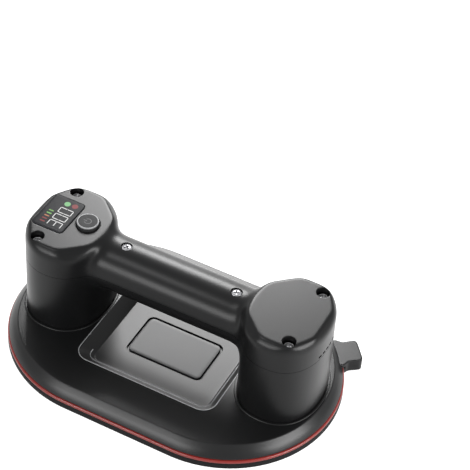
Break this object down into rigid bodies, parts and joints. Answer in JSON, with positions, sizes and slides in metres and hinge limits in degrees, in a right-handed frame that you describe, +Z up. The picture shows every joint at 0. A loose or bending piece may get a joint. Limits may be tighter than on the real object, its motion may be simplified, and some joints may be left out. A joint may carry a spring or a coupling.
{
  "type": "electric suction lifter",
  "caption": "Hand-held electric vacuum suction lifter with an oval sealed plate, two towers joined by a round handle, a display, a push button and a release lever.",
  "frame": {"origin": "centre of the seal's underside, where the lifter meets the tile", "axes": "+X along the lifter to the pump tower, +Y to the side with the release lever, +Z up, away from the tile"},
  "size_m": [0.2782, 0.1862, 0.1049],
  "materials": {
    "housing_black": "fine satin texture",
    "panel_black": "smooth satin",
    "stripe_red": "satin",
    "seal_rubber": "matt",
    "under_black": "satin",
    "screw_zinc": "zinc plated",
    "screw_black": "black oxide",
    "filter_felt": "felt",
    "window_gloss": "polished",
    "module_white": "matt",
    "board_green": "solder mask",
    "button_grey": "matt",
    "bezel_black": "satin",
    "spring_steel": "wire",
    "socket_steel": "nickel plated",
    "cell_wrap": "shrink sleeve",
    "tray_plastic": "matt",
    "sensor_plastic": "matt",
    "soft_rubber": "matt",
    "pump_plastic": "natural nylon",
    "motor_steel": "plated",
    "magnet_dark": "ground",
    "rotor_steel": "laminated",
    "bell_plastic": "matt",
    "valve_plastic": "satin",
    "hose_silicone": "milky",
    "lever_black": "satin",
    "stem_brass": "turned",
    "wire_sleeve": "smooth"
  },
  "bodies": {
    "frame": {"base_plate": "housing_black", "lower_housing": "housing_black", "upper_housing": "housing_black", "inset_panel": "panel_black", "stripe_ring": "stripe_red", "seal_ring": "seal_rubber", "under_plate": "under_black", "handle_screws": "screw_zinc", "under_screws": "screw_zinc", "deck_screws": "screw_zinc", "board_screws": "screw_zinc", "pump_screws": "screw_zinc", "tower_screws": "screw_black", "intake_filter": "filter_felt", "display_window": "window_gloss", "display_module": "module_white", "control_board": "board_green", "button_bezel": "bezel_black", "tact_switch": "bezel_black", "button_spring": "spring_steel", "valve_spring": "spring_steel", "lever_spring": "spring_steel", "charge_socket": "socket_steel", "battery_cells": "cell_wrap", "battery_tray": "tray_plastic", "battery_cap": "tray_plastic", "pressure_sensor": "sensor_plastic", "pump_cradle": "soft_rubber", "pump_diaphragm": "soft_rubber", "pump_head": "pump_plastic", "pump_spacer": "pump_plastic", "pump_rocker": "pump_plastic", "pump_body": "pump_plastic", "motor_can": "motor_steel", "lever_pin": "motor_steel", "motor_magnets": "magnet_dark", "motor_bell": "bell_plastic", "check_valve": "valve_plastic", "intake_hose": "hose_silicone", "wire_harness": "wire_sleeve"},
    "button": {"button_cap": "button_grey"},
    "lever": {"release_lever": "lever_black"},
    "valve": {"valve_stem": "stem_brass", "valve_seal": "soft_rubber"},
    "rotor": {"motor_rotor": "rotor_steel"}
  },
  "joints": [
    {"name": "button_press", "type": "slide", "parent": "frame", "child": "button", "axis": [0, 0, -1], "range_m": [0, 0.0012], "stiffness_N_per_m": 600, "springref_m": -0.0015, "deforming": ["button_spring"]},
    {"name": "release_lever", "type": "hinge", "parent": "frame", "child": "lever", "pos_m": [0.10966, 0.05248, 0.0114], "axis": [0.6361, -0.7716, 0], "range_deg": [0, 8], "stiffness_Nm_per_rad": 0.28, "springref_deg": -9.17},
    {"name": "valve_slide", "type": "slide", "parent": "frame", "child": "valve", "axis": [0, 0, -1], "range_m": [0, 0.0018], "deforming": ["valve_spring"]},
    {"name": "motor_spin", "type": "hinge", "parent": "frame", "child": "rotor", "pos_m": [0.0926, 0, 0.06], "axis": [0, 0, 1], "continuous": true}
  ],
  "couplings": [
    {"joint": "valve_slide", "follows": "release_lever", "m_per_rad": 0.0125}
  ]
}
